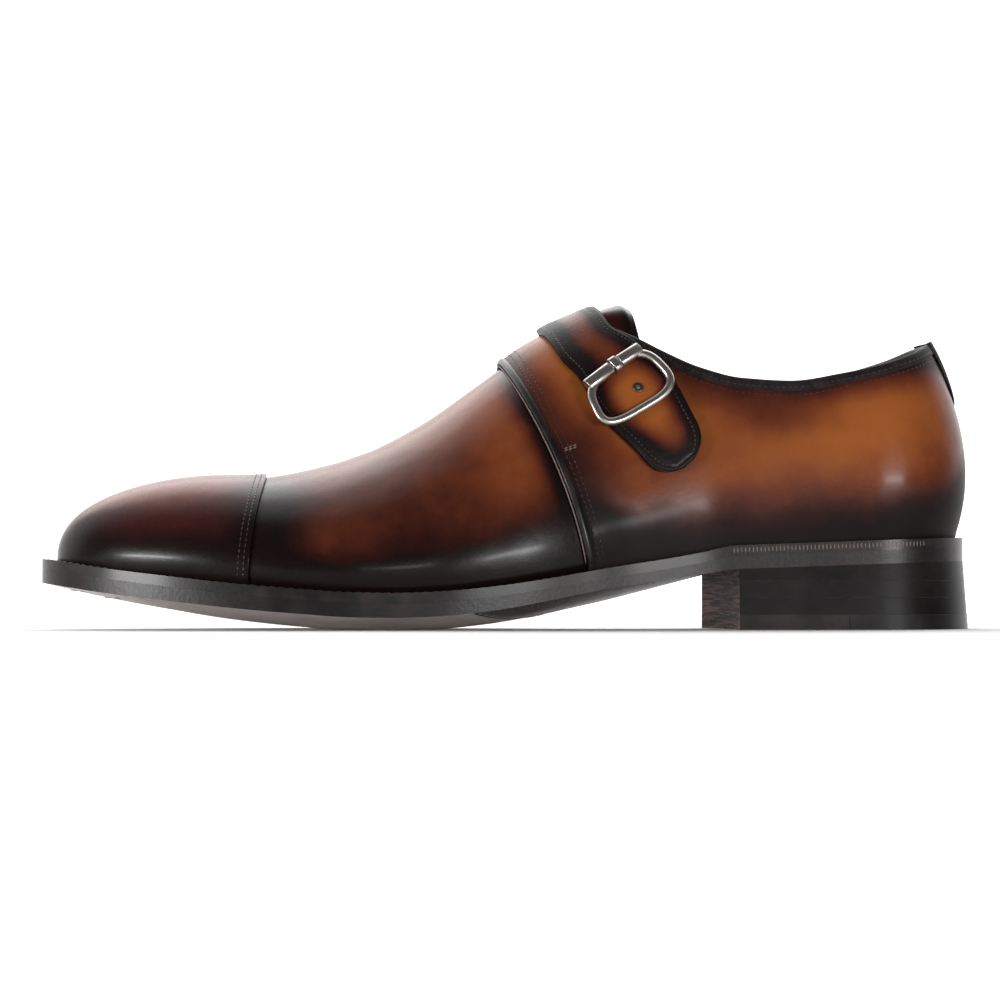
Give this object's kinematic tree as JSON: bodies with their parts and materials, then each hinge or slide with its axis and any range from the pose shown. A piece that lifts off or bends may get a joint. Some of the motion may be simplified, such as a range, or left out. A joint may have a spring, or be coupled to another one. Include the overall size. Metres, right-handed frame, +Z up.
{
  "type": "monk strap shoe",
  "caption": "Left leather dress shoe with a cap toe, an instep strap fastened by a sleeved buckle, a welted leather sole and a stacked heel.",
  "frame": {"origin": "centre of the bounding box's bottom, on the floor", "axes": "+Z up, toe towards -X, heel towards +X, lateral side towards -Y, medial side towards +Y"},
  "size_m": [0.302, 0.1038, 0.1062],
  "materials": {
    "sole_leather": "satin pale leather sole",
    "edge_leather": "black waxed edge",
    "lining_leather": "smooth matt lining leather",
    "heel_stack": "black waxed leather lifts",
    "heel_rubber": "matt grey rubber",
    "upper_leather": "polished tan calf, burnished dark towards its edges",
    "cap_leather": "polished dark red-brown calf",
    "buckle_metal": "polished dark nickel"
  },
  "bodies": {
    "root": {"outsole": "sole_leather", "midsole": "edge_leather", "insole": "lining_leather", "heel_lift_1": "heel_stack", "heel_lift_2": "heel_stack", "heel_lift_3": "heel_stack", "top_piece_front": "sole_leather", "top_piece_rear": "heel_rubber", "upper": "upper_leather", "toe_cap": "cap_leather", "tongue": "cap_leather", "back_strip": "edge_leather", "strap": "upper_leather", "strap_stud": "buckle_metal", "buckle_frame": "buckle_metal", "buckle_sleeve_front": "buckle_metal", "buckle_sleeve_rear": "buckle_metal", "buckle_bead": "buckle_metal"}
  },
  "joints": []
}
